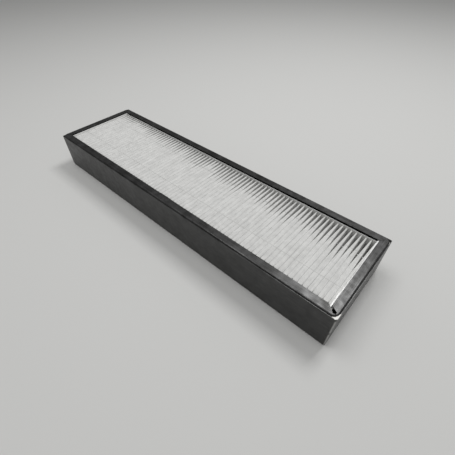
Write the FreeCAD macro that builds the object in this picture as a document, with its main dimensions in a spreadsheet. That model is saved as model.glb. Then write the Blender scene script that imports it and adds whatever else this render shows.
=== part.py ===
import FreeCAD, Part
import math
import os
import Sketcher

# Panel dust filter: a pleated pack glued into a casing of folded sheet, under a mitred top frame.
# Millimetres. The origin is the middle of the footprint, on the surface that the filter stands on.
# X runs along the filter, Y across it from front to rear, and Z is up.

os.makedirs("parts", exist_ok=True)
doc = FreeCAD.newDocument("DustFilter")

# Driving dimensions

SIZES = [
    ("casing_length", 450, "outer length of the casing"),
    ("casing_width", 118, "outer width of the casing"),
    ("overall_depth", 50, "from the standing surface to the top frame's face"),
    ("sheet_thickness", 0.6, "sheet of the casing and of the top frame"),
    ("flange_width", 9.8, "from an outer wall to the inner edge of a flange"),
    ("corner_radius", 1.5, "outer radius of the casing's upright corners"),
    ("fold_radius", 0.6, "inner radius of the casing's bottom fold"),
    ("notch_margin", 0.2, "how far the notch at a bottom corner reaches past the corner's radius"),
    ("rim_drop", 1.6, "from the top frame's face down to the casing's edge"),
    ("mitre_gap", 0.3, "width of a closed mitre"),
    ("seam_offset", 40, "from the left end to the casing's seam"),
    ("seam_gap", 0.3, "width of the line between a strip's two ends"),
    ("seam_tab_width", 18, "width of the tab behind a strip's two ends"),
    ("weld_pitch", 6, "from a seam to its spot welds"),
    ("weld_diameter", 4, "diameter of a spot weld's dimple"),
    ("weld_dent", 0.15, "depth of a spot weld's dimple"),
    ("weld_row_pitch", 14, "height between the casing seam's two rows of welds"),
    ("frame_clearance", 0.3, "between the casing's wall and the top frame's skirt"),
    ("frame_skirt", 14, "height of the top frame's skirt"),
    ("frame_corner_radius", 6, "outer radius of the top frame's corners"),
    ("frame_fold_radius", 0.9, "inner radius of the fold between flange and skirt"),
    ("open_mitre_cutback", 3.9, "how far the front flange ends short of the near mitre"),
    ("open_mitre_slant", 3.8, "how far the right flange's end slants away from the near mitre"),
    ("open_mitre_margin", 3.4, "from the outer walls to the open mitre's outer end"),
    ("tuck_width", 1.5, "how far the tucked tab shows in the open mitre"),
    ("tuck_hold", 2.5, "how far the tucked tab reaches under the front flange"),
    ("tuck_seat", 0.4, "how far the tucked tab reaches under the flange beyond the open mitre's outer end"),
    ("lap_offset", 1.5, "from the middle of the front to the line between the frame strip's ends"),
    ("lap_proud", 0.8, "how far the tab at that line stands out past the front flange"),
    ("tip_recess", 4, "from the top frame's face down to the pleat tips"),
    ("bed_depth", 2.4, "sealant between the bottom flange and the pleats"),
    ("band_inset", 6.2, "from the casing's long walls to the side bands"),
    ("band_thickness", 1, "thickness of a side band"),
    ("strip_inset", 8.3, "from the casing's end walls to the end strips"),
    ("strip_thickness", 3, "thickness of an end strip"),
    ("pleat_count", 80, "valleys in the pleated sheet"),
    ("media_thickness", 0.6, "thickness of the pleated sheet"),
    ("crease_radius", 0.35, "inner radius of a crease"),
    ("outer_facets", 4, "flats round the outer side of a crease"),
    ("inner_facets", 2, "flats round the inner side of a crease"),
    ("bead_spacing", 50, "distance between the two spacer beads of a side"),
    ("bead_width", 1.6, "width of a spacer bead"),
    ("bead_cap", 0.4, "height of a spacer bead beyond the pleat tips"),
    ("bead_reach", 8, "how far a spacer bead reaches into a valley"),
    ("bead_clearance", 0.05, "between a spacer bead and the pleats' flanks"),
    ("seal_height", 10, "from the standing surface to the top of the sealant beside the pack"),
    ("seal_margin", 0.5, "from the bottom flange's inner edge to the sealant"),
    ("seal_chamfer", 0.8, "chamfer of the sealant at the casing's bottom fold"),
    ("dab_clearance", 0.1, "between the top frame and the sealant in a corner"),
    ("dab_end", 2, "how far a corner's sealant stays short of the frame's straight sides"),
    ("dab_depth", 5, "height of the sealant in a corner"),
    ("dab_drop", 3, "from the casing's edge down to a corner's sealant"),
    ("smear_height", 0.7, "height of the near corner's sealant above the casing's edge"),
    ("smear_width", 2.2, "width of the near corner's sealant along the front"),
    ("smear_length", 8.5, "length of the near corner's sealant along the end wall"),
]

sheet = doc.addObject("Spreadsheet::Sheet", "sizes")
for row, (alias, number, meaning) in enumerate(SIZES, start=1):
    sheet.set(f"A{row}", meaning)
    sheet.set(f"B{row}", str(number))
    sheet.setAlias(f"B{row}", alias)
doc.recompute()

# Places that several pieces share, worked out from the driving dimensions

HALF_LENGTH = "(sizes.casing_length / 2)"
HALF_WIDTH = "(sizes.casing_width / 2)"
INNER_X = f"({HALF_LENGTH} - sizes.sheet_thickness)"
INNER_Y = f"({HALF_WIDTH} - sizes.sheet_thickness)"
OPENING_X = f"({HALF_LENGTH} - sizes.flange_width)"
OPENING_Y = f"({HALF_WIDTH} - sizes.flange_width)"
INNER_CORNER = "(sizes.corner_radius - sizes.sheet_thickness)"
CASING_TOP = "(sizes.overall_depth - sizes.rim_drop)"
CASING_FOLD = "(sizes.fold_radius + sizes.sheet_thickness)"
CASING_NOTCH = "(sizes.corner_radius + sizes.notch_margin)"
FRAME_X = f"({INNER_X} - sizes.frame_clearance)"
FRAME_Y = f"({INNER_Y} - sizes.frame_clearance)"
FRAME_INNER_X = f"({FRAME_X} - sizes.sheet_thickness)"
FRAME_INNER_Y = f"({FRAME_Y} - sizes.sheet_thickness)"
FRAME_CENTRE_X = f"({FRAME_X} - sizes.frame_corner_radius)"
FRAME_CENTRE_Y = f"({FRAME_Y} - sizes.frame_corner_radius)"
FRAME_FOLD = "(sizes.frame_fold_radius + sizes.sheet_thickness)"
FRAME_TOP = "sizes.overall_depth"
FRAME_BOTTOM = "(sizes.overall_depth - sizes.frame_skirt)"
FLANGE_UNDERSIDE = "(sizes.overall_depth - sizes.sheet_thickness)"
TAB_UNDERSIDE = "(sizes.overall_depth - 2 * sizes.sheet_thickness)"
PACK_TOP = "(sizes.overall_depth - sizes.tip_recess)"
PACK_BOTTOM = "(sizes.sheet_thickness + sizes.bed_depth)"
BAND_OUTER = f"({HALF_WIDTH} - sizes.band_inset)"
BAND_INNER = f"({BAND_OUTER} - sizes.band_thickness)"
STRIP_OUTER = f"({HALF_LENGTH} - sizes.strip_inset)"
STRIP_INNER = f"({STRIP_OUTER} - sizes.strip_thickness)"
DAB_TOP = f"({CASING_TOP} - sizes.dab_drop)"
DAB_BOTTOM = f"({DAB_TOP} - sizes.dab_depth)"


def value(expression):
    """The number of millimetres that an expression over the sheet stands for."""
    return float(sheet.evalExpression(expression))


# Sketches whose points are tied to the sheet

def new_body(label):
    body = doc.addObject("PartDesign::Body", label)
    body.Label = label
    return body


def plane_sketch(body, name, role, offset):
    """A sketch on one of the body's own planes, moved along its normal by an expression."""
    sketch = body.newObject("Sketcher::SketchObject", name)
    plane = next(item for item in body.Origin.OriginFeatures if item.Role == role)
    sketch.AttachmentSupport = [(plane, "")]
    sketch.MapMode = "FlatFace"
    sketch.setExpression(".AttachmentOffset.Base.z", offset)
    return sketch


def tie(sketch, constraint, expression, name):
    """Adds a dimension to a sketch and ties it to the sheet."""
    index = sketch.addConstraint(constraint)
    sketch.renameConstraint(index, name)
    sketch.setExpression(f"Constraints.{name}", expression)


def tie_point(sketch, element, point, x, y):
    """Ties a point of a sketch element to two expressions."""
    across = Sketcher.Constraint("DistanceX", -1, 1, element, point, value(x))
    tie(sketch, across, x, f"x{element}")
    up = Sketcher.Constraint("DistanceY", -1, 1, element, point, value(y))
    tie(sketch, up, y, f"y{element}")


def draw_straight(sketch, points):
    """Draws a closed outline of straight lines; each point is a pair of expressions."""
    spots = [FreeCAD.Vector(value(x), value(y), 0) for x, y in points]
    first = sketch.GeometryCount
    for index, spot in enumerate(spots):
        sketch.addGeometry(Part.LineSegment(spot, spots[(index + 1) % len(spots)]))
    for index, (x, y) in enumerate(points):
        line = first + index
        following = first + (index + 1) % len(points)
        sketch.addConstraint(Sketcher.Constraint("Coincident", line, 2, following, 1))
        tie_point(sketch, line, 1, x, y)


def draw_circle(sketch, x, y, radius):
    """Draws a circle; its centre and radius are expressions."""
    centre = FreeCAD.Vector(value(x), value(y), 0)
    circle = sketch.addGeometry(Part.Circle(centre, FreeCAD.Vector(0, 0, 1), value(radius)))
    tie_point(sketch, circle, 3, x, y)
    tie(sketch, Sketcher.Constraint("Radius", circle, value(radius)), radius, f"r{circle}")


def draw_rounded(sketch, half_x, half_y, radius):
    """Draws a rectangle round the origin with round corners; its sizes are expressions."""
    centre_x = f"({half_x} - {radius})"
    centre_y = f"({half_y} - {radius})"
    arcs = []
    for turn, (side_x, side_y) in enumerate(((1, 1), (-1, 1), (-1, -1), (1, -1))):
        centre = FreeCAD.Vector(side_x * value(centre_x), side_y * value(centre_y), 0)
        circle = Part.Circle(centre, FreeCAD.Vector(0, 0, 1), value(radius))
        start = turn * math.pi / 2
        arc = sketch.addGeometry(Part.ArcOfCircle(circle, start, start + math.pi / 2))
        tie_point(sketch, arc, 3, f"{side_x} * {centre_x}", f"{side_y} * {centre_y}")
        tie(sketch, Sketcher.Constraint("Radius", arc, value(radius)), radius, f"r{arc}")
        arcs.append(arc)
    for arc, following in zip(arcs, arcs[1:] + arcs[:1]):
        start = sketch.Geometry[arc].EndPoint
        line = sketch.addGeometry(Part.LineSegment(start, sketch.Geometry[following].StartPoint))
        sketch.addConstraint(Sketcher.Constraint("Tangent", arc, 2, line, 1))
        sketch.addConstraint(Sketcher.Constraint("Tangent", line, 2, following, 1))


def straight(points):
    """A drawing of a closed outline, to be made in a sketch later."""
    return lambda sketch: draw_straight(sketch, points)


def rounded(half_x, half_y, radius):
    """A drawing of a rounded rectangle, to be made in a sketch later."""
    return lambda sketch: draw_rounded(sketch, half_x, half_y, radius)


def box_points(low_x, high_x, low_y, high_y):
    return [(high_x, high_y), (low_x, high_y), (low_x, low_y), (high_x, low_y)]


def centred_box(half_x, half_y):
    return straight(box_points(f"-{half_x}", half_x, f"-{half_y}", half_y))


# Operations on bodies

def add_layer(body, name, draw, bottom, top):
    """Pads a drawing from one height up to another."""
    sketch = plane_sketch(body, name + "_sketch", "XY_Plane", bottom)
    draw(sketch)
    doc.recompute()
    pad = body.newObject("PartDesign::Pad", name)
    pad.Profile = sketch
    pad.setExpression("Length", f"{top} - {bottom}")
    doc.recompute()


def cut_sketch(body, name, sketch, length):
    """Cuts a sketch along its plane's normal, and checks that it takes some of the body away."""
    doc.recompute()
    before = body.Shape.Volume
    pocket = body.newObject("PartDesign::Pocket", name)
    pocket.Profile = sketch
    pocket.Reversed = True
    pocket.setExpression("Length", length)
    doc.recompute()
    if body.Shape.Volume >= before:
        raise RuntimeError(f"{name} cuts nothing")


def cut_layer(body, name, draw, bottom, top):
    """Cuts a drawing from one height up to another."""
    sketch = plane_sketch(body, name + "_sketch", "XY_Plane", bottom)
    draw(sketch)
    cut_sketch(body, name, sketch, f"{top} - {bottom}")


def dress_edges(body, kind, name, pick, amount):
    """Rounds or chamfers the edges of the body that a test picks out."""
    base = body.Tip
    edges = enumerate(base.Shape.Edges, start=1)
    names = [f"Edge{index}" for index, edge in edges if pick(edge.BoundBox)]
    dressing = body.newObject(f"PartDesign::{kind}", name)
    dressing.Base = (base, names)
    dressing.setExpression("Radius" if kind == "Fillet" else "Size", amount)
    doc.recompute()


NEAR = 1e-4


def level_with(height):
    """Picks edges that lie at one height."""
    place = value(height)

    def pick(box):
        return box.ZLength < NEAR and abs(box.Center.z - place) < NEAR
    return pick


# Details that both folded strips have

def mitre_slots(corners, reach):
    """A drawing of thin diagonal slots that run outwards from a flange's inner corners."""
    narrow = "sizes.mitre_gap / sqrt(2)"

    def draw(sketch):
        for side_x, side_y in corners:
            draw_straight(sketch, [
                (f"{side_x} * {OPENING_X}", f"{side_y} * ({OPENING_Y} - {narrow})"),
                (f"{side_x} * ({OPENING_X} + {reach})", f"{side_y} * ({OPENING_Y} + {reach} - {narrow})"),
                (f"{side_x} * ({OPENING_X} + {reach} - {narrow})", f"{side_y} * ({OPENING_Y} + {reach})"),
                (f"{side_x} * ({OPENING_X} - {narrow})", f"{side_y} * {OPENING_Y}"),
            ])
    return draw


def strip_line(middle, low_y, high_y):
    """The narrow line between the two ends of a strip."""
    half = "sizes.seam_gap / 2"
    return straight(box_points(f"({middle} - {half})", f"({middle} + {half})", low_y, high_y))


def strip_tab(middle, low_y, high_y):
    """The tab that lies behind the two ends of a strip."""
    half = "sizes.seam_tab_width / 2"
    return straight(box_points(f"({middle} - {half})", f"({middle} + {half})", low_y, high_y))


# The casing: four walls and a bottom flange, folded from one strip

def build_casing():
    body = new_body("casing")
    outer = rounded(HALF_LENGTH, HALF_WIDTH, "sizes.corner_radius")
    add_layer(body, "casing_blank", outer, "0", CASING_TOP)
    dress_edges(body, "Fillet", "casing_fold", level_with("0"), CASING_FOLD)
    hollow = rounded(INNER_X, INNER_Y, INNER_CORNER)
    cut_layer(body, "casing_hollow", hollow, "sizes.sheet_thickness", CASING_TOP)
    floor_edges = level_with("sizes.sheet_thickness")
    dress_edges(body, "Fillet", "casing_inner_fold", floor_edges, "sizes.fold_radius")
    cut_layer(body, "casing_opening", centred_box(OPENING_X, OPENING_Y), "0", "sizes.sheet_thickness")
    corners = [(side_x, side_y) for side_x in (-1, 1) for side_y in (-1, 1)]
    slots = mitre_slots(corners, f"(sizes.flange_width - {CASING_NOTCH} / 2)")
    cut_layer(body, "casing_mitres", slots, "0", "sizes.sheet_thickness")
    cut_layer(body, "casing_notches", corner_notches(corners), "0", CASING_FOLD)
    build_casing_seam(body)


def corner_notches(corners):
    """A drawing of the squares that are cut out where the bottom fold meets a corner."""
    def draw(sketch):
        for side_x, side_y in corners:
            low_x, high_x = (f"{side_x} * ({HALF_LENGTH} {sign} {CASING_NOTCH})" for sign in "-+")
            low_y, high_y = (f"{side_y} * ({HALF_WIDTH} {sign} {CASING_NOTCH})" for sign in "-+")
            draw_straight(sketch, box_points(low_x, high_x, low_y, high_y))
    return draw


def build_casing_seam(body):
    """The strip's two ends meet on the rear wall, spot-welded to a tab behind them."""
    middle = f"(sizes.seam_offset - {HALF_LENGTH})"
    tab_back = f"({INNER_Y} - sizes.sheet_thickness)"
    tab_bottom = "(sizes.seal_height + sizes.frame_clearance)"
    tab_top = f"({FRAME_BOTTOM} - sizes.frame_clearance)"
    cut_layer(body, "casing_seam", strip_line(middle, INNER_Y, HALF_WIDTH), CASING_FOLD, CASING_TOP)
    add_layer(body, "casing_seam_tab", strip_tab(middle, tab_back, INNER_Y), tab_bottom, tab_top)
    welds = plane_sketch(body, "casing_welds_sketch", "XZ_Plane", f"-{HALF_WIDTH}")
    for across in (-1, 1):
        for row in (-1, 1):
            x = f"({middle} + {across} * sizes.weld_pitch)"
            z = f"(({tab_bottom} + {tab_top}) / 2 + {row} * sizes.weld_row_pitch / 2)"
            draw_circle(welds, x, z, "sizes.weld_diameter / 2")
    cut_sketch(body, "casing_welds", welds, "sizes.weld_dent")


# The top frame: a flange and a skirt, folded from one strip with notched corners

def build_top_frame():
    body = new_body("top_frame")
    outer = rounded(FRAME_X, FRAME_Y, "sizes.frame_corner_radius")
    add_layer(body, "frame_blank", outer, FRAME_BOTTOM, FRAME_TOP)
    dress_edges(body, "Fillet", "frame_fold", level_with(FRAME_TOP), FRAME_FOLD)
    inner_corner = "(sizes.frame_corner_radius - sizes.sheet_thickness)"
    hollow = rounded(FRAME_INNER_X, FRAME_INNER_Y, inner_corner)
    cut_layer(body, "frame_hollow", hollow, FRAME_BOTTOM, FLANGE_UNDERSIDE)
    dress_edges(body, "Fillet", "frame_inner_fold", level_with(FLANGE_UNDERSIDE), "sizes.frame_fold_radius")
    cut_layer(body, "frame_opening", centred_box(OPENING_X, OPENING_Y), FLANGE_UNDERSIDE, FRAME_TOP)
    build_frame_mitres(body)
    build_frame_lap(body)


def build_frame_mitres(body):
    """Three closed mitres, and the near one open, with a tab that shows in it."""
    reach = f"({FRAME_CENTRE_X} - {OPENING_X} + (sizes.frame_corner_radius - {FRAME_FOLD}) / sqrt(2))"
    closed = mitre_slots(((-1, -1), (-1, 1), (1, 1)), reach)
    cut_layer(body, "frame_mitres", closed, FLANGE_UNDERSIDE, FRAME_TOP)

    end_x = f"({HALF_LENGTH} - sizes.open_mitre_margin)"
    end_y = f"({HALF_WIDTH} - sizes.open_mitre_margin)"
    front_inner_x = f"({OPENING_X} - sizes.open_mitre_cutback)"
    front_outer_x = f"({front_inner_x} + {end_y} - {OPENING_Y})"
    near_mitre = straight([
        (OPENING_X, f"-{OPENING_Y}"),
        (front_inner_x, f"-{OPENING_Y}"),
        (front_outer_x, f"-{end_y}"),
        (end_x, f"-{end_y}"),
        (end_x, f"-({OPENING_Y} + sizes.open_mitre_slant)"),
    ])
    cut_layer(body, "frame_open_mitre", near_mitre, FLANGE_UNDERSIDE, FRAME_TOP)
    tab_end_x = f"({front_outer_x} + sizes.tuck_seat)"
    tab_end_y = f"({end_y} + sizes.tuck_seat)"
    tucked_tab = straight([
        (f"({front_inner_x} + sizes.tuck_width)", f"-{OPENING_Y}"),
        (f"({front_inner_x} - sizes.tuck_hold)", f"-{OPENING_Y}"),
        (f"({tab_end_x} - sizes.tuck_hold)", f"-{tab_end_y}"),
        (f"({tab_end_x} + sizes.tuck_width)", f"-{tab_end_y}"),
    ])
    add_layer(body, "frame_tucked_tab", tucked_tab, TAB_UNDERSIDE, FLANGE_UNDERSIDE)


def build_frame_lap(body):
    """The strip's two ends meet near the middle of the front, spot-welded to a tab under them."""
    middle = "(-sizes.lap_offset)"
    line = strip_line(middle, f"-{FRAME_Y}", f"-{OPENING_Y}")
    cut_layer(body, "frame_lap", line, FRAME_BOTTOM, FRAME_TOP)
    tab_front = f"-({FRAME_INNER_Y} - sizes.frame_fold_radius)"
    tab_edge = f"-({OPENING_Y} - sizes.lap_proud)"
    add_layer(body, "frame_lap_tab", strip_tab(middle, tab_front, tab_edge), TAB_UNDERSIDE, FLANGE_UNDERSIDE)
    welds = plane_sketch(body, "frame_welds_sketch", "XY_Plane", f"{FRAME_TOP} - sizes.weld_dent")
    for across in (-1, 1):
        x = f"({middle} + {across} * sizes.weld_pitch)"
        draw_circle(welds, x, f"-({OPENING_Y} + {HALF_WIDTH}) / 2", "sizes.weld_diameter / 2")
    cut_sketch(body, "frame_welds", welds, "sizes.weld_dent")


# The pleated sheet: one sheet folded to and fro, from a crest at one end to a crest at the other

class Pleats:
    """Where the creases and flanks of the pleated sheet lie, seen from the front."""

    def __init__(self):
        self.count = round(value("sizes.pleat_count"))
        self.left = -value(STRIP_INNER)
        self.pitch = 2 * value(STRIP_INNER) / self.count
        self.inner = value("sizes.crease_radius")
        self.outer = self.inner + value("sizes.media_thickness")
        self.top = value(PACK_TOP)
        self.bottom = value(PACK_BOTTOM)
        self.slope = self.flank_slope()

    def flank_slope(self):
        """The angle by which a flank leans away from the upright."""
        across = self.pitch / 2
        down = self.top - self.bottom - 2 * self.outer
        middle_radius = (self.inner + self.outer) / 2
        reach = math.hypot(across, down)
        return math.acos(2 * middle_radius / reach) - math.atan2(down, across)

    def upper_crease(self, index):
        return FreeCAD.Vector(self.left + index * self.pitch, 0, self.top - self.outer)

    def lower_crease(self, index):
        return FreeCAD.Vector(self.left + (index + 0.5) * self.pitch, 0, self.bottom + self.outer)

    def crease(self, centre, radius, rise):
        """Points round one side of a crease, from its left flank to its right one; rise is 1 for a crest."""
        facets = round(value("sizes.outer_facets" if radius == self.outer else "sizes.inner_facets"))
        turn = math.pi - 2 * self.slope
        points = []
        for step in range(facets + 1):
            angle = math.pi - self.slope - turn * step / facets
            points.append(centre + FreeCAD.Vector(math.cos(angle), 0, rise * math.sin(angle)) * radius)
        return points

    def surface(self, upper_radius, lower_radius):
        """Points along one side of the sheet, from the middle of the first crest to that of the last."""
        points = self.crease(self.upper_crease(0), upper_radius, 1)
        for index in range(self.count):
            points += self.crease(self.lower_crease(index), lower_radius, -1)
            points += self.crease(self.upper_crease(index + 1), upper_radius, 1)
        return [point for point in points if abs(point.x) < NEAR - self.left]

    def right_flank_x(self, index, height):
        """Where the right flank below an upper crease is, on its outer side, at a height."""
        start = self.crease(self.upper_crease(index), self.outer, 1)[-1]
        return start.x + (start.z - height) * math.tan(self.slope)


def add_shape(label, shape):
    """A document object that holds a finished shape."""
    item = doc.addObject("Part::Feature", label)
    item.Label = label
    item.Shape = shape
    item.Placement = FreeCAD.Placement()


def extrude_across(corners, low_y, width):
    """Extrudes an outline that lies in the XZ plane, from a place across the filter to the rear."""
    face = Part.Face(Part.makePolygon(corners + corners[:1]))
    face.translate(FreeCAD.Vector(0, low_y, 0))
    return face.extrude(FreeCAD.Vector(0, width, 0))


def build_media(pleats):
    above = pleats.surface(pleats.outer, pleats.inner)
    below = pleats.surface(pleats.inner, pleats.outer)
    half_width = value(BAND_INNER)
    add_shape("pleated_media", extrude_across(above + below[::-1], -half_width, 2 * half_width))


# Spacer beads: threads of hot-melt that bridge the pleats' tips and sag into the valleys

def bead_outline(pleats):
    """The outline of a top bead in the XZ plane."""
    gap = value("sizes.bead_clearance")
    deep = pleats.top - value("sizes.bead_reach")
    outline = []
    for index in range(pleats.count):
        valley = pleats.lower_crease(index).x
        edge = pleats.right_flank_x(index, pleats.top) + gap
        outline.append(FreeCAD.Vector(edge, 0, pleats.top))
        outline.append(FreeCAD.Vector(valley, 0, deep))
        outline.append(FreeCAD.Vector(2 * valley - edge, 0, pleats.top))
    return capped(outline, value("sizes.bead_cap"))


def capped(outline, height):
    """Closes the outline of a bead with a straight line beyond the tips."""
    rise = FreeCAD.Vector(0, 0, height)
    return [outline[0] + rise] + outline + [outline[-1] + rise]


def build_beads(pleats):
    width = value("sizes.bead_width")
    spacing = value("sizes.bead_spacing")
    top_outline = bead_outline(pleats)
    # The lower side is the upper one turned over, half a pleat along, so its outline has one valley fewer.
    turned = [
        FreeCAD.Vector(point.x + pleats.pitch / 2, 0, pleats.top + pleats.bottom - point.z)
        for point in top_outline[1:-4]
    ]
    bottom_outline = capped(turned, -value("sizes.bead_cap"))
    for side, outline in (("top", top_outline), ("bottom", bottom_outline)):
        for place, middle in (("front", -spacing / 2), ("rear", spacing / 2)):
            add_shape(f"{side}_bead_{place}", extrude_across(outline, middle - width / 2, width))


# Bands and strips: flat pieces that close the four sides of the pleated pack

def build_plate(label, low_x, high_x, low_y, high_y):
    plate = doc.addObject("Part::Box", label)
    plate.Label = label
    plate.setExpression("Length", f"{high_x} - {low_x}")
    plate.setExpression("Width", f"{high_y} - {low_y}")
    plate.setExpression("Height", f"{PACK_TOP} - {PACK_BOTTOM}")
    plate.setExpression(".Placement.Base.x", low_x)
    plate.setExpression(".Placement.Base.y", low_y)
    plate.setExpression(".Placement.Base.z", PACK_BOTTOM)


def build_pack_sides():
    build_plate("front_side_band", f"-{STRIP_OUTER}", STRIP_OUTER, f"-{BAND_OUTER}", f"-{BAND_INNER}")
    build_plate("rear_side_band", f"-{STRIP_OUTER}", STRIP_OUTER, BAND_INNER, BAND_OUTER)
    build_plate("left_end_strip", f"-{STRIP_OUTER}", f"-{STRIP_INNER}", f"-{BAND_INNER}", BAND_INNER)
    build_plate("right_end_strip", STRIP_INNER, STRIP_OUTER, f"-{BAND_INNER}", BAND_INNER)


# Sealant: the bed that the pack stands in, and a dab in each corner beside the top frame

def build_sealant_bed():
    body = new_body("sealant_bed")
    outer = rounded(INNER_X, INNER_Y, INNER_CORNER)
    add_layer(body, "seal_blank", outer, "sizes.sheet_thickness", "sizes.seal_height")
    dress_edges(body, "Chamfer", "seal_foot", level_with("sizes.sheet_thickness"), "sizes.seal_chamfer")
    cut_layer(body, "seal_pack_seat", centred_box(STRIP_OUTER, BAND_OUTER), PACK_BOTTOM, "sizes.seal_height")
    opening = centred_box(f"({OPENING_X} + sizes.seal_margin)", f"({OPENING_Y} + sizes.seal_margin)")
    cut_layer(body, "seal_opening", opening, "sizes.sheet_thickness", PACK_BOTTOM)


def build_corner_dab(label, side_x, side_y, top):
    """Sealant that fills the corner between the casing's sharp corner and the frame's round one."""
    body = new_body(label)
    block = straight([
        (f"{side_x} * {INNER_X}", f"{side_y} * {INNER_Y}"),
        (f"{side_x} * ({FRAME_CENTRE_X} + sizes.dab_end)", f"{side_y} * {INNER_Y}"),
        (f"{side_x} * ({FRAME_CENTRE_X} + sizes.dab_end)", f"{side_y} * ({FRAME_CENTRE_Y} + sizes.dab_end)"),
        (f"{side_x} * {INNER_X}", f"{side_y} * ({FRAME_CENTRE_Y} + sizes.dab_end)"),
    ])
    add_layer(body, label + "_block", block, DAB_BOTTOM, top)
    corner = FreeCAD.Vector(side_x * value(INNER_X), side_y * value(INNER_Y), 0)

    def outer_upright(box):
        aside = FreeCAD.Vector(box.Center.x, box.Center.y, 0)
        return box.ZLength > NEAR and aside.distanceToPoint(corner) < NEAR
    dress_edges(body, "Fillet", label + "_corner", outer_upright, INNER_CORNER)
    return body


def cut_frame_round(body, label, side_x, side_y, top):
    """Takes away from a dab what the top frame's round corner fills."""
    sketch = plane_sketch(body, label + "_round_sketch", "XY_Plane", DAB_BOTTOM)
    radius = "(sizes.frame_corner_radius + sizes.dab_clearance)"
    draw_circle(sketch, f"{side_x} * {FRAME_CENTRE_X}", f"{side_y} * {FRAME_CENTRE_Y}", radius)
    cut_sketch(body, label + "_round", sketch, f"{top} - {DAB_BOTTOM}")


def build_corner_sealant():
    for label, side_x, side_y in (
        ("corner_sealant_left", -1, -1),
        ("corner_sealant_rear_left", -1, 1),
        ("corner_sealant_far", 1, 1),
    ):
        body = build_corner_dab(label, side_x, side_y, DAB_TOP)
        cut_frame_round(body, label, side_x, side_y, DAB_TOP)

    label = "corner_sealant_near"
    smear_top = f"({CASING_TOP} + sizes.smear_height)"
    body = build_corner_dab(label, 1, -1, CASING_TOP)
    smear = straight([
        (HALF_LENGTH, f"-({HALF_WIDTH} - sizes.corner_radius)"),
        (HALF_LENGTH, f"-({HALF_WIDTH} - sizes.smear_length)"),
        (INNER_X, f"-{FRAME_CENTRE_Y}"),
        (f"({HALF_LENGTH} - sizes.smear_width)", f"-({FRAME_CENTRE_Y} + sizes.dab_end)"),
        (f"({HALF_LENGTH} - sizes.smear_width)", f"-{HALF_WIDTH}"),
        (f"({HALF_LENGTH} - sizes.corner_radius)", f"-{HALF_WIDTH}"),
    ])
    add_layer(body, label + "_smear", smear, CASING_TOP, smear_top)
    cut_frame_round(body, label, 1, -1, smear_top)


# The whole filter

def check_objects():
    """Stops where any object of the document failed to compute."""
    for item in doc.Objects:
        if "Invalid" in item.State or "Error" in item.State:
            raise RuntimeError(f"{item.Name} failed: {item.State}")


def write_nodes():
    """Writes every finished piece to a file named after its label."""
    bodies = doc.findObjects("PartDesign::Body")
    plates = doc.findObjects("Part::Box")
    shapes = [item for item in doc.Objects if item.TypeId == "Part::Feature"]
    pieces = bodies + plates + shapes
    for piece in pieces:
        if piece.Shape.isNull() or not piece.Shape.isValid() or len(piece.Shape.Solids) != 1:
            raise RuntimeError(f"{piece.Label} is not one valid solid")
    for piece in pieces:
        piece.Shape.exportStep(f"parts/{piece.Label}.step")
        print(f"{piece.Label}: {piece.Shape.Volume:.0f} cubic millimetres")


build_casing()
build_top_frame()
pleats = Pleats()
build_media(pleats)
build_beads(pleats)
build_pack_sides()
build_sealant_bed()
build_corner_sealant()
doc.recompute()
check_objects()
write_nodes()
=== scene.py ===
import math
import random

import bpy
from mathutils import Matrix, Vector


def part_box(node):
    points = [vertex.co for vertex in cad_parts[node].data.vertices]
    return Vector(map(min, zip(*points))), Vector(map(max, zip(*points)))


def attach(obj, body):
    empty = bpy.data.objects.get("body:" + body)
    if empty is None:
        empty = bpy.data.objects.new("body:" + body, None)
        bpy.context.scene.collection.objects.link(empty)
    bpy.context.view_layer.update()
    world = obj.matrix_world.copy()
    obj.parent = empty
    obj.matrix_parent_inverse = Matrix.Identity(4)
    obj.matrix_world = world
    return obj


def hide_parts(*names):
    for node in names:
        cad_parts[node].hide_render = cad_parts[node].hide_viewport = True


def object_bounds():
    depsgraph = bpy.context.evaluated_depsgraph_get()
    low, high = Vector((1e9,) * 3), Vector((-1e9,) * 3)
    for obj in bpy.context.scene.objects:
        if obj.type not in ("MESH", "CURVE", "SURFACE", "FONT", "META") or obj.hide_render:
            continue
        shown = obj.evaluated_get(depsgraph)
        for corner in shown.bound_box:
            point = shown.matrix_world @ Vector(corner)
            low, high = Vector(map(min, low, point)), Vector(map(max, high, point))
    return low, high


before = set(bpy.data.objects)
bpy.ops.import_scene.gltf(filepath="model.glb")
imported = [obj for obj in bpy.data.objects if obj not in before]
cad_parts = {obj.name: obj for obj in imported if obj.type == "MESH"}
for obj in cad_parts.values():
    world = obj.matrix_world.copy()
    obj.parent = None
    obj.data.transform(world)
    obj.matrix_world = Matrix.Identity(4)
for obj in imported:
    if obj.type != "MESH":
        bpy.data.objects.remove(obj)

# A panel dust filter on a pale floor: a dark folded casing and top frame round a white pleated pack.
# Metres. The frame's own nodes stay where they are. The pleated sheet, its two upper threads, the
# rear band and the two end strips are modelled here in place of their solids, because the real ones
# are soft and uneven.

MM = 0.001
cad_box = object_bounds()
casing_low, casing_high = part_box("casing")
media_low, media_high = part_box("pleated_media")
left_strip_low, left_strip_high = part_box("left_end_strip")
right_strip_low, right_strip_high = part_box("right_end_strip")
band_low, band_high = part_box("rear_side_band")

PLEATS = 80
PITCH = (media_high.x - media_low.x) / PLEATS
MEDIA_THICKNESS = 0.6 * MM
CREASE_RADIUS = 0.4 * MM

# How finely the folded sheet is divided. A flank's points are shares of the way down from its crest,
# and lie close together at the top, where it bows most.
ROWS_ACROSS = 28
UPPER_CREASE_STEPS = 3
LOWER_CREASE_STEPS = 2
FLANK_SHARES = (0.012, 0.03, 0.08, 0.3, 1.0)
MERGE_DISTANCE = 1e-6

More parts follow.
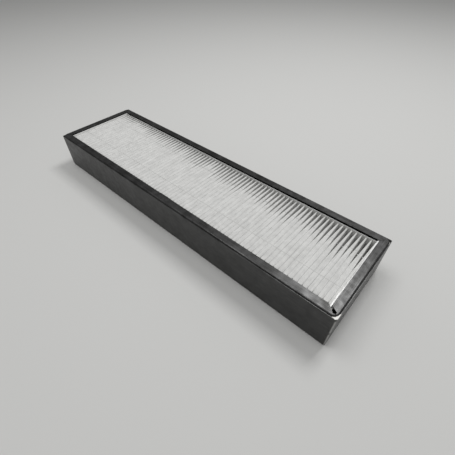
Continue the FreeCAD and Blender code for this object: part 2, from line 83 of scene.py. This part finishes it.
# The rear band stands further in than its solid, so that a dark recess shows under the rear flange.
BAND_THICKNESS = 1.0 * MM
BAND_UPSTAND = 1.0 * MM
BAND_PARTS = PLEATS * 2
REAR_RECESS = 3.4 * MM
SHEET_FRONT = media_low.y
SHEET_REAR = media_high.y - REAR_RECESS

# Pleats bow out until they touch, but the bands pinch their ends: rear valleys stay open in wedges.
ARCH_DEPTH = 0.42 * MM
TOUCH_GAP = 0.02 * MM
FRONT_WEDGE = 6 * MM
LEFT_WEDGE = 14 * MM
RIGHT_WEDGE = 44 * MM
WEDGE_SPREAD = 0.45
WEDGE_GROUP = 3
WEDGE_SEED = 17

# Hand-laid pleats wander along the filter and stand up unevenly. Each wave has its direction, its
# strength and the size of its grain along x, y and z.
WANDER = 0.5 * MM
LIFT = 0.35 * MM
WAVES = (
    ("X", WANDER, (7 * MM, 45 * MM, 60 * MM)),
    ("Z", LIFT, (6 * MM, 60 * MM, 60 * MM)),
    ("X", WANDER, (40 * MM, 30 * MM, 60 * MM)),
)
WAVE_OFFSET_X = 0.013
WAVE_OFFSET_Y = 0.021
WAVE_OFFSET_Z = 0.5

# A thread of hot melt is as thick as the sheet, and stands a little proud of it on both sides.
THREAD_WIDTH = 0.9 * MM
THREAD_STANDS_PROUD = 0.12 * MM
THREAD_SAG = 7 * MM

# The adhesive beside an end flange is a jagged ridge, thin in the middle of the filter's width. It
# reaches its full width at this share of the strip's length from the middle.
FLANGE_COVER = 1.6 * MM
STRIP_PARTS = 48
FULL_WIDTH_AT = 0.36
WIDENING = 1.5
JAG_WIDTH = 0.18 * MM
JAG_HEIGHT = 0.2 * MM
RIDGE_ROUNDING = 0.22 * MM
JUST_OFF = 0.01 * MM

# Where the steel's marks come in: heights for the handled flange and for the top of the painted highlight
# on the near upright bend, and places past the casing's corner for that painted highlight's width.
HANDLED_FROM = 46 * MM
HANDLED_TO = 48 * MM
PAINTED_HIGHLIGHT_TOP_FROM = 47 * MM
PAINTED_HIGHLIGHT_TOP_TO = 44 * MM
PAINTED_HIGHLIGHT_WIDTH_FROM = -1.5 * MM
PAINTED_HIGHLIGHT_WIDTH_TO = -0.6 * MM

# The camera stands where the photo was taken, fitted to the filter's corners; its turn is in degrees.
CAMERA_PLACE = (0.23985, -0.20955, 0.28445)
CAMERA_TURN = (44.231, 0.159, 41.662)
CAMERA_LENS = 24.524
FLOOR_SIZE = 8
EVEN_LIGHT = 0.22


# Colours and shader nodes

def per_mm(*grain):
    """A pattern's scale along x, y and z from its grain in millimetres."""
    return [1 / (size * MM) for size in grain]


def colour(hex_code):
    """Turns an sRGB hex code into the linear colour that a shader takes."""
    parts = [int(hex_code[i:i + 2], 16) / 255 for i in (1, 3, 5)]
    linear = [p / 12.92 if p <= 0.04045 else ((p + 0.055) / 1.055) ** 2.4 for p in parts]
    return (*linear, 1.0)


def add(tree, kind, inputs=None, stops=(), **settings):
    """Adds a shader node. An input takes another node's output or a value; stops are a ramp's colours."""
    node = tree.nodes.new(kind)
    for name, value in settings.items():
        setattr(node, name, value)
    for name, value in (inputs or {}).items():
        if isinstance(value, bpy.types.NodeSocket):
            tree.links.new(value, node.inputs[name])
        else:
            node.inputs[name].default_value = value
    if stops:
        for element, (position, hex_code) in zip(node.color_ramp.elements, stops):
            element.position = position
            element.color = colour(hex_code)
    return node


def new_material(name):
    """An empty material with its output node."""
    material = bpy.data.materials.new(name)
    material.use_nodes = True
    tree = material.node_tree
    tree.nodes.clear()
    return material, tree, add(tree, "ShaderNodeOutputMaterial")


# Materials

def dark_coated_steel():
    """Cold-rolled steel sheet with a thin dark satin coating, folded after coating. It mirrors its
    surroundings softly: fine rolling lines along each side, cloudy handling marks, slight waves."""
    material, tree, output = new_material("dark_coated_steel")
    place = add(tree, "ShaderNodeTexCoord").outputs["Object"]
    split = add(tree, "ShaderNodeSeparateXYZ", {"Vector": place})
    # The sheet's rolling lines run along each side: across the filter on the end sides. The real ones
    # are too fine to show, so they are drawn 0.5 mm wide.
    far_x = add(tree, "ShaderNodeMath", {0: split.outputs["X"]}, operation="ABSOLUTE")
    far_y = add(tree, "ShaderNodeMath", {0: split.outputs["Y"]}, operation="ABSOLUTE")
    past_x = add(tree, "ShaderNodeMath", {0: far_x.outputs[0], 1: casing_high.x}, operation="SUBTRACT")
    past_y = add(tree, "ShaderNodeMath", {0: far_y.outputs[0], 1: casing_high.y}, operation="SUBTRACT")
    on_end = add(tree, "ShaderNodeMath", {0: past_x.outputs[0], 1: past_y.outputs[0]},
                 operation="GREATER_THAN")
    along_x = add(tree, "ShaderNodeMapping", {"Vector": place, "Scale": per_mm(40, 0.5, 0.5)})
    along_y = add(tree, "ShaderNodeMapping", {"Vector": place, "Scale": per_mm(0.5, 40, 0.5)})
    side_lines = add(tree, "ShaderNodeTexNoise", {"Vector": along_x.outputs[0], "Scale": 1.0,
                                                  "Detail": 3.0})
    end_lines = add(tree, "ShaderNodeTexNoise", {"Vector": along_y.outputs[0], "Scale": 1.0,
                                                 "Detail": 3.0})
    lines = add(tree, "ShaderNodeMix", {0: on_end.outputs[0], 2: side_lines.outputs["Fac"],
                                        3: end_lines.outputs["Fac"]}).outputs[0]

    clouds = add(tree, "ShaderNodeTexNoise", {"Vector": place, "Scale": 1 / (14 * MM), "Detail": 4.0,
                                              "Roughness": 0.6})
    marks = add(tree, "ShaderNodeTexNoise", {"Vector": place, "Scale": 1 / (6 * MM), "Detail": 3.0})
    waves = add(tree, "ShaderNodeTexNoise", {"Vector": place, "Scale": 1 / (40 * MM), "Detail": 1.0})
    tone = add(tree, "ShaderNodeMath", {0: clouds.outputs["Fac"], 1: lines}, operation="ADD")
    # The flange is handled more than the walls, so its marks stand out more.
    handled = add(tree, "ShaderNodeMapRange", {"Value": split.outputs["Z"], "From Min": HANDLED_FROM,
                                               "From Max": HANDLED_TO, "To Min": 0.4})
    from_mean = add(tree, "ShaderNodeMath", {0: tone.outputs[0], 1: 1.0}, operation="SUBTRACT")
    marked = add(tree, "ShaderNodeMath", {0: from_mean.outputs[0], 1: handled.outputs[0]},
                 operation="MULTIPLY")
    coat_tone = add(tree, "ShaderNodeMath", {0: marked.outputs[0], 1: 0.5, 2: 0.5},
                    operation="MULTIPLY_ADD")
    coating = add(tree, "ShaderNodeValToRGB", {"Fac": coat_tone.outputs[0]},
                  stops=((0.38, "#3b3b3a"), (0.62, "#606060")))
    # At the near upright bend a light steel grey is painted in patches below the top edge:
    # a painted highlight of the bend.
    near_x = add(tree, "ShaderNodeMath", {0: split.outputs["X"], 1: casing_high.x}, operation="SUBTRACT")
    near_y = add(tree, "ShaderNodeMath", {0: casing_low.y, 1: split.outputs["Y"]}, operation="SUBTRACT")
    past_corner = add(tree, "ShaderNodeMath", {0: near_x.outputs[0], 1: near_y.outputs[0]},
                      operation="MINIMUM")
    painted_highlight_band = add(tree, "ShaderNodeMapRange", {"Value": past_corner.outputs[0],
                                              "From Min": PAINTED_HIGHLIGHT_WIDTH_FROM,
                                              "From Max": PAINTED_HIGHLIGHT_WIDTH_TO})
    painted_highlight_patches = add(tree, "ShaderNodeMapRange", {"Value": marks.outputs["Fac"], "From Min": 0.3,
                                               "From Max": 0.5})
    highlight_below_top = add(tree, "ShaderNodeMapRange", {"Value": split.outputs["Z"],
                                                 "From Min": PAINTED_HIGHLIGHT_TOP_FROM,
                                                 "From Max": PAINTED_HIGHLIGHT_TOP_TO})
    painted_highlight_in_patches = add(tree, "ShaderNodeMath", {0: painted_highlight_band.outputs[0], 1: painted_highlight_patches.outputs[0]}, operation="MULTIPLY")
    painted_highlight = add(tree, "ShaderNodeMath", {0: painted_highlight_in_patches.outputs[0], 1: highlight_below_top.outputs[0]}, operation="MULTIPLY")
    base = add(tree, "ShaderNodeMix", {0: painted_highlight.outputs[0], 6: coating.outputs["Color"],
                                       7: colour("#a9a9a7")}, data_type="RGBA")
    rough = add(tree, "ShaderNodeMapRange", {"Value": marks.outputs["Fac"], "From Min": 0.3,
                                             "From Max": 0.7, "To Min": 0.34, "To Max": 0.48})
    fine = add(tree, "ShaderNodeBump", {"Height": lines, "Strength": 0.12, "Distance": 0.05 * MM})
    gentle = add(tree, "ShaderNodeBump", {"Height": waves.outputs["Fac"], "Normal": fine.outputs[0],
                                          "Strength": 0.7, "Distance": 1.8 * MM})
    shader = add(tree, "ShaderNodeBsdfPrincipled", {"Base Color": base.outputs[2], "Metallic": 1.0,
                                                    "Roughness": rough.outputs[0],
                                                    "Normal": gentle.outputs[0]})
    tree.links.new(shader.outputs[0], output.inputs["Surface"])
    return material


def nonwoven(name, dark, light, through_share):
    """White spun-bonded polymer fibre: matt, faintly cloudy, with a fibrous grain. A share of the
    light passes through, so that thin pleats glow instead of shading each other."""
    material, tree, output = new_material(name)
    place = add(tree, "ShaderNodeTexCoord").outputs["Object"]
    clouds = add(tree, "ShaderNodeTexNoise", {"Vector": place, "Scale": 1 / (6 * MM), "Detail": 3.0})
    # The real fibres are hair-fine. They are drawn 0.7 mm coarse, so that the grain shows.
    fibres = add(tree, "ShaderNodeTexNoise", {"Vector": place, "Scale": 1 / (0.7 * MM), "Detail": 4.0,
                                              "Roughness": 0.7})
    # Pressing the folds leaves faint streaks along them, finer than the pleats.
    along_folds = add(tree, "ShaderNodeMapping", {"Vector": place, "Scale": per_mm(1.3, 28, 28)})
    streaks = add(tree, "ShaderNodeTexNoise", {"Vector": along_folds.outputs[0], "Scale": 1.0,
                                               "Detail": 2.0})
    both = add(tree, "ShaderNodeMath", {0: clouds.outputs["Fac"], 1: fibres.outputs["Fac"]},
               operation="ADD")
    all_three = add(tree, "ShaderNodeMath", {0: both.outputs[0], 1: streaks.outputs["Fac"]},
                    operation="ADD")
    mean = add(tree, "ShaderNodeMath", {0: all_three.outputs[0], 1: 3.0}, operation="DIVIDE")
    base = add(tree, "ShaderNodeValToRGB", {"Fac": mean.outputs[0]}, stops=((0.4, dark), (0.6, light)))
    relief = add(tree, "ShaderNodeBump", {"Height": fibres.outputs["Fac"], "Strength": 0.35,
                                          "Distance": 0.2 * MM})
    shader = add(tree, "ShaderNodeBsdfPrincipled", {"Base Color": base.outputs["Color"], "Roughness": 0.9,
                                                    "Sheen Weight": 0.1, "Sheen Roughness": 0.6,
                                                    "Normal": relief.outputs[0]})
    through = add(tree, "ShaderNodeBsdfTranslucent", {"Color": base.outputs["Color"]})
    mixed = add(tree, "ShaderNodeMixShader", {"Fac": through_share, 1: shader.outputs[0],
                                              2: through.outputs[0]})
    tree.links.new(mixed.outputs[0], output.inputs["Surface"])
    return material


def cured_polymer(name, dark, light, roughness):
    """Cast white polymer, such as hot-melt thread or poured sealant: smooth, with low lumps."""
    material, tree, output = new_material(name)
    place = add(tree, "ShaderNodeTexCoord").outputs["Object"]
    lumps = add(tree, "ShaderNodeTexNoise", {"Vector": place, "Scale": 1 / (4 * MM), "Detail": 2.0})
    base = add(tree, "ShaderNodeValToRGB", {"Fac": lumps.outputs["Fac"]},
               stops=((0.35, dark), (0.65, light)))
    relief = add(tree, "ShaderNodeBump", {"Height": lumps.outputs["Fac"], "Strength": 0.4,
                                          "Distance": 0.4 * MM})
    shader = add(tree, "ShaderNodeBsdfPrincipled", {"Base Color": base.outputs["Color"], "IOR": 1.48,
                                                    "Roughness": roughness, "Normal": relief.outputs[0]})
    tree.links.new(shader.outputs[0], output.inputs["Surface"])
    return material


def matt_floor():
    """Pale seamless studio floor."""
    material, tree, output = new_material("pale_floor")
    shader = add(tree, "ShaderNodeBsdfPrincipled", {"Base Color": colour("#d6d6d4"), "Roughness": 1.0})
    tree.links.new(shader.outputs[0], output.inputs["Surface"])
    return material


steel = dark_coated_steel()
media_cloth = nonwoven("pleated_nonwoven", "#dddddb", "#f2f2f0", through_share=0.2)
# Pressed denser than the pleats, so it is whiter and lets less light through.
edging = nonwoven("stiff_nonwoven_band", "#f0f0ee", "#f8f8f6", through_share=0.15)
hot_melt = cured_polymer("hot_melt_thread", "#d8d7d4", "#e4e3e0", roughness=0.5)
# Hot melt that has soaked into the crests: as matt as the cloth, and a little greyer.
thread_melt = nonwoven("soaked_crest_thread", "#d8d8d6", "#e4e4e2", through_share=0.2)
sealant = cured_polymer("cured_sealant", "#dcdbd6", "#ecebe6", roughness=0.35)
# Adhesive squeezed up beside the flange and set with a skin: very white, with a shine.
squeezed_adhesive = cured_polymer("squeezed_white_adhesive", "#f4f4f2", "#ffffff", roughness=0.18)

NODE_MATERIALS = {
    "casing": steel,
    "top_frame": steel,
    "pleated_media": media_cloth,
    "front_side_band": edging,
    "rear_side_band": edging,
    "left_end_strip": edging,
    "right_end_strip": edging,
    "top_bead_front": hot_melt,
    "top_bead_rear": hot_melt,
    "bottom_bead_front": hot_melt,
    "bottom_bead_rear": hot_melt,
    "sealant_bed": sealant,
    "corner_sealant_near": sealant,
    "corner_sealant_left": sealant,
    "corner_sealant_far": sealant,
    "corner_sealant_rear_left": sealant,
}
for name, material in NODE_MATERIALS.items():
    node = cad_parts[name]
    node.data.materials.clear()
    node.data.materials.append(material)


# Modelling helpers

def select_only(*objects):
    """Deselects everything, then selects these, the last of them active."""
    if bpy.context.object and bpy.context.object.mode != "OBJECT":
        bpy.ops.object.mode_set(mode="OBJECT")
    bpy.ops.object.select_all(action="DESELECT")
    for item in objects:
        item.select_set(True)
        bpy.context.view_layer.objects.active = item


def apply_modifier(piece, kind, **settings):
    """Adds a modifier to the piece and applies it."""
    select_only(piece)
    modifier = piece.modifiers.new(kind.lower(), kind)
    for name, value in settings.items():
        setattr(modifier, name, value)
    bpy.ops.object.modifier_apply(modifier=modifier.name)


def place_in_mesh(piece):
    """Moves the piece's place, turn and size into its mesh."""
    select_only(piece)
    bpy.ops.object.transform_apply(location=True, rotation=True, scale=True)


def extrude_along(steps):
    """Extrudes the selected edges or faces by one step after another."""
    for step in steps:
        bpy.ops.mesh.extrude_region_move(TRANSFORM_OT_translate={"value": step})


def finish_piece(piece, name, material, slot, *nodes):
    """Names a piece, gives it its material, lets it ride on the root and stand for its nodes."""
    piece.name = name
    piece.data.name = name
    piece.data.materials.clear()
    piece.data.materials.append(material)
    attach(piece, "root")
    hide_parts(*nodes)


# The pleated sheet

def pleat_profile():
    """Points along the middle of the sheet over one pinched pleat, from a crest to the next."""
    top = media_high.z - MEDIA_THICKNESS / 2 - CREASE_RADIUS
    bottom = media_low.z + MEDIA_THICKNESS / 2 + CREASE_RADIUS
    across, down = PITCH / 2, top - bottom
    lean = math.acos(2 * CREASE_RADIUS / math.hypot(across, down)) - math.atan2(down, across)
    quarter = math.pi / 2 - lean
    points = []
    for step in range(UPPER_CREASE_STEPS + 1):
        angle = math.pi / 2 - quarter * step / UPPER_CREASE_STEPS
        points.append((CREASE_RADIUS * math.cos(angle), top + CREASE_RADIUS * math.sin(angle)))
    flank_start = points[-1]
    flank_end = (across - CREASE_RADIUS * math.cos(lean), bottom - CREASE_RADIUS * math.sin(lean))
    for share in FLANK_SHARES:
        points.append(tuple(a + (b - a) * share for a, b in zip(flank_start, flank_end)))
    for step in range(1, LOWER_CREASE_STEPS + 1):
        angle = math.pi + lean + quarter * step / LOWER_CREASE_STEPS
        points.append((across + CREASE_RADIUS * math.cos(angle), bottom + CREASE_RADIUS * math.sin(angle)))
    mirrored = [(PITCH - x, z) for x, z in reversed(points[:-1])]
    return points + mirrored


def wedge_lengths():
    """How far each valley stands open from the rear band: further towards the right, in loose groups."""
    draw = random.Random(WEDGE_SEED)
    chances = [draw.uniform(-1, 1) for _ in range(PLEATS + WEDGE_GROUP)]
    lengths = []
    for valley in range(PLEATS + 1):
        group = sum(chances[valley:valley + WEDGE_GROUP]) / 2
        usual = LEFT_WEDGE + (RIGHT_WEDGE - LEFT_WEDGE) * valley / PLEATS
        lengths.append(usual * (1 + WEDGE_SPREAD * group))
    return lengths


def closed_share(wedge, y):
    """How far a valley is closed at y: 0 at the bands, 1 where its two pleats touch."""
    return max(0.0, min(1.0, (SHEET_REAR - y) / wedge, (y - SHEET_FRONT) / FRONT_WEDGE))


def bow_out(piece):
    """Bows the flanks out towards their neighbours. The lower creases keep their radius."""
    touch = PITCH / 2 - MEDIA_THICKNESS / 2 - TOUCH_GAP
    crease_top = media_low.z + MEDIA_THICKNESS / 2 + CREASE_RADIUS
    wedges = wedge_lengths()
    for vertex in piece.data.vertices:
        if vertex.co.z < crease_top:
            continue
        place = (vertex.co.x - media_low.x) / PITCH
        valley = min(PLEATS, max(0, math.floor(place)))
        side = 1 if place - valley < 0.5 else -1
        crest = media_low.x + (valley if side > 0 else valley + 1) * PITCH
        depth = max(0.0, media_high.z - MEDIA_THICKNESS / 2 - vertex.co.z)
        rise = 1 - min(1.0, depth / ARCH_DEPTH)
        bowed = touch * math.sqrt(1 - rise ** 2)
        growth = max(0.0, bowed - abs(vertex.co.x - crest))
        vertex.co.x += side * growth * closed_share(wedges[valley], vertex.co.y)


def uneven(piece):
    """Lets the upper part of a soft piece wander along the filter and up and down, as hand-laid
    pleats do. The wander is a function of place, so touching pieces move alike."""
    group = piece.vertex_groups.new(name="upper_part")
    for vertex in piece.data.vertices:
        share = (vertex.co.z - media_low.z) / (media_high.z - media_low.z)
        group.add([vertex.index], max(0.0, min(1.0, share)), "REPLACE")
    for number, (direction, strength, grain) in enumerate(WAVES):
        pattern = bpy.data.textures.new(f"wander_{number}", "CLOUDS")
        pattern.noise_scale = 1.0
        select_only()
        place = (WAVE_OFFSET_X * number, WAVE_OFFSET_Y * number, WAVE_OFFSET_Z)
        bpy.ops.object.empty_add(location=place, scale=(1, 1, 1))
        grid = bpy.context.object
        grid.scale = grain
        bpy.context.view_layer.update()
        apply_modifier(piece, "DISPLACE", texture=pattern, texture_coords="OBJECT",
                       texture_coords_object=grid, direction=direction, strength=strength,
                       mid_level=0.5, vertex_group="upper_part")
        bpy.data.objects.remove(grid)
        bpy.data.textures.remove(pattern)
    piece.vertex_groups.remove(piece.vertex_groups["upper_part"])


def folded_strip(profile, front, rear, rows):
    """A strip of sheet that follows the profile over every pleat, from front to rear. It starts as
    the right-hand edge of a grid, which is extruded over one pleat and repeated."""
    width = rear - front
    select_only()
    bpy.ops.mesh.primitive_grid_add(x_subdivisions=1, y_subdivisions=rows, size=width)
    piece = bpy.context.object
    bpy.ops.object.mode_set(mode="EDIT")
    bpy.ops.mesh.select_mode(type="VERT")
    bpy.ops.mesh.select_all(action="DESELECT")
    bpy.ops.object.mode_set(mode="OBJECT")
    for vertex in piece.data.vertices:
        vertex.select = vertex.co.x > 0
    bpy.ops.object.mode_set(mode="EDIT")
    bpy.ops.mesh.delete(type="VERT")
    bpy.ops.mesh.select_all(action="SELECT")
    first_x, first_z = profile[0]
    middle = (front + rear) / 2
    bpy.ops.transform.translate(value=(media_low.x + first_x + width / 2, middle, first_z))
    extrude_along([(b[0] - a[0], 0, b[1] - a[1]) for a, b in zip(profile, profile[1:])])
    bpy.ops.object.mode_set(mode="OBJECT")
    place_in_mesh(piece)
    apply_modifier(piece, "ARRAY", count=PLEATS, use_relative_offset=False, use_constant_offset=True,
                   constant_offset_displace=(PITCH, 0, 0), use_merge_vertices=True,
                   merge_threshold=MERGE_DISTANCE)
    bow_out(piece)
    return piece


def close_and_smooth(piece, angle):
    """Turns every face outwards and shades the piece smooth up to the angle."""
    select_only(piece)
    bpy.ops.object.mode_set(mode="EDIT")
    bpy.ops.mesh.select_all(action="SELECT")
    bpy.ops.mesh.normals_make_consistent(inside=False)
    bpy.ops.object.mode_set(mode="OBJECT")
    bpy.ops.object.shade_smooth_by_angle(angle=math.radians(angle))


def build_pleats():
    """The one folded sheet, bowed out and uneven, with its thickness given last."""
    piece = folded_strip(pleat_profile(), SHEET_FRONT, SHEET_REAR, ROWS_ACROSS)
    uneven(piece)
    apply_modifier(piece, "SOLIDIFY", thickness=MEDIA_THICKNESS, offset=0.0)
    close_and_smooth(piece, angle=50)
    finish_piece(piece, "pleated_sheet", media_cloth, "filter_media", "pleated_media")


# The hot-melt threads on the crests

def build_thread(name, node):
    """A thread of hot melt laid over the crests. It sags where it crosses a valley that stands open."""
    low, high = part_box(node)
    middle = (low.y + high.y) / 2
    points = pleat_profile()
    upper = points[:UPPER_CREASE_STEPS + 2]
    profile = upper + [(PITCH - x, z) for x, z in reversed(upper)]
    piece = folded_strip(profile, middle - THREAD_WIDTH / 2, middle + THREAD_WIDTH / 2, 1)
    wedges = wedge_lengths()
    crossing = upper[-1][1]
    for vertex in piece.data.vertices:
        if vertex.co.z < crossing + THREAD_STANDS_PROUD:
            valley = min(PLEATS, math.floor((vertex.co.x - media_low.x) / PITCH))
            vertex.co.z -= THREAD_SAG * (1 - closed_share(wedges[valley], middle))
    uneven(piece)
    apply_modifier(piece, "SOLIDIFY", thickness=MEDIA_THICKNESS + 2 * THREAD_STANDS_PROUD, offset=0.0)
    close_and_smooth(piece, angle=50)
    finish_piece(piece, name, thread_melt, "hot_melt", node)


# The bands and strips round the pack

def cut_across(axis, start, end, parts):
    """Cuts the whole mesh into equal parts along the X or the Y axis, as a row of loop cuts would."""
    normal = (1, 0, 0) if axis == "X" else (0, 1, 0)
    for number in range(1, parts):
        place = start + (end - start) * number / parts
        bpy.ops.mesh.select_all(action="SELECT")
        bpy.ops.mesh.bisect(plane_co=tuple(place * n for n in normal), plane_no=normal)


def box_piece(low, high):
    """A cube brought to the box's size and place."""
    select_only()
    bpy.ops.mesh.primitive_cube_add(size=1, location=(Vector(low) + Vector(high)) / 2)
    piece = bpy.context.object
    piece.scale = Vector(high) - Vector(low)
    place_in_mesh(piece)
    return piece


def build_rear_band():
    """The stiff band that the pleats' rear ends are glued to. Its top edge is the light line."""
    piece = box_piece((band_low.x, SHEET_REAR, band_low.z),
                      (band_high.x, SHEET_REAR + BAND_THICKNESS, media_high.z + BAND_UPSTAND))
    bpy.ops.object.mode_set(mode="EDIT")
    cut_across("X", band_low.x, band_high.x, BAND_PARTS)
    bpy.ops.object.mode_set(mode="OBJECT")
    uneven(piece)
    close_and_smooth(piece, angle=40)
    finish_piece(piece, "rear_edge_band", edging, "pack_edging", "rear_side_band")


def build_end_strip(name, node, low, high, inward, top, wide, narrow, seed, material):
    """The strip at the first or last fold, with the adhesive that is squeezed up beside the flange:
    a rounded upstand, wide near the corners and thin in the middle. inward is -1 on the right."""
    flange_side = high.x - FLANGE_COVER if inward < 0 else low.x + FLANGE_COVER
    piece = box_piece(low, high)
    bpy.ops.object.mode_set(mode="EDIT")
    bpy.ops.mesh.select_mode(type="FACE")
    bpy.ops.mesh.select_all(action="SELECT")
    bpy.ops.mesh.bisect(plane_co=(flange_side, 0, 0), plane_no=(1, 0, 0))
    bpy.ops.mesh.select_all(action="DESELECT")
    bpy.ops.object.mode_set(mode="OBJECT")
    for face in piece.data.polygons:
        inner = (face.center.x - flange_side) * inward > 0
        looks_up = face.normal.z > 0.9
        face.select = looks_up and inner
    bpy.ops.object.mode_set(mode="EDIT")
    extrude_along([(0, 0, top - high.z)])
    cut_across("Y", low.y, high.y, STRIP_PARTS)
    bpy.ops.object.mode_set(mode="OBJECT")
    draw = random.Random(seed)
    jags = [draw.uniform(-1, 1) for _ in range(STRIP_PARTS + 1)]
    for vertex in piece.data.vertices:
        stands_up = vertex.co.z > high.z + JUST_OFF
        inner = (vertex.co.x - flange_side) * inward > JUST_OFF
        if not (stands_up and inner):
            continue
        along = (vertex.co.y - low.y) / (high.y - low.y)
        from_middle = min(1.0, abs(along - 0.5) / FULL_WIDTH_AT)
        jag = jags[round(along * STRIP_PARTS)]
        width = narrow + (wide - narrow) * from_middle ** WIDENING + JAG_WIDTH * jag
        vertex.co.x = flange_side + inward * width
        vertex.co.z += JAG_HEIGHT * jag
    apply_modifier(piece, "BEVEL", width=RIDGE_ROUNDING, segments=3, limit_method="ANGLE",
                   angle_limit=math.radians(40))
    close_and_smooth(piece, angle=50)
    finish_piece(piece, name, material, "pack_edging", node)


build_pleats()
build_thread("front_crest_thread", "top_bead_front")
build_thread("rear_crest_thread", "top_bead_rear")
build_rear_band()
build_end_strip("right_glue_line", "right_end_strip", right_strip_low, right_strip_high, inward=-1,
                top=49.0 * MM, wide=1.5 * MM, narrow=0.5 * MM, seed=15, material=squeezed_adhesive)
build_end_strip("left_glue_line", "left_end_strip", left_strip_low, left_strip_high, inward=1,
                top=48.2 * MM, wide=1.4 * MM, narrow=0.7 * MM, seed=14, material=edging)


# Studio: a pale floor, three softboxes high round the filter, and dim even light all round

def build_studio():
    """The floor under the filter, the even light and the lamps."""
    select_only()
    bpy.ops.mesh.primitive_plane_add(size=FLOOR_SIZE, location=(0, 0, cad_box[0][2]))
    floor = bpy.context.object
    floor.name = "floor"
    place_in_mesh(floor)
    floor.data.materials.append(matt_floor())

    world = bpy.data.worlds.new("studio")
    world.use_nodes = True
    world.node_tree.nodes["Background"].inputs["Color"].default_value = colour("#ffffff")
    world.node_tree.nodes["Background"].inputs["Strength"].default_value = EVEN_LIGHT
    bpy.context.scene.world = world

    softbox("rear_softbox", elevation=63, turn=14, distance=1.5, width=0.4, height=0.5, power=8.0)
    softbox("left_softbox", elevation=74, turn=-112, distance=1.6, width=0.7, height=0.7, power=6.0)
    softbox("right_softbox", elevation=78, turn=120, distance=1.6, width=0.7, height=0.7, power=3.2)


def softbox(name, elevation, turn, distance, width, height, power):
    """A rectangular lamp aimed at the filter; turn is from the rear towards the right end."""
    up, side = math.radians(elevation), math.radians(turn)
    aim = Vector((math.sin(side) * math.cos(up), math.cos(side) * math.cos(up), math.sin(up)))
    lamp = bpy.data.lights.new(name, "AREA")
    lamp.shape = "RECTANGLE"
    lamp.size = width
    lamp.size_y = height
    lamp.energy = power
    item = bpy.data.objects.new(name, lamp)
    item.location = aim * distance
    item.rotation_euler = aim.to_track_quat("Z", "Y").to_euler()
    bpy.context.scene.collection.objects.link(item)


def build_camera():
    """Looks at the filter as the photo does, from above its near corner."""
    camera = bpy.data.cameras.new("camera")
    camera.sensor_width = 36
    camera.lens = CAMERA_LENS
    camera.clip_start = 0.01
    item = bpy.data.objects.new("camera", camera)
    item.location = CAMERA_PLACE
    item.rotation_euler = [math.radians(angle) for angle in CAMERA_TURN]
    bpy.context.scene.collection.objects.link(item)
    bpy.context.scene.camera = item


build_studio()
build_camera()
bpy.context.scene.view_settings.view_transform = "Standard"
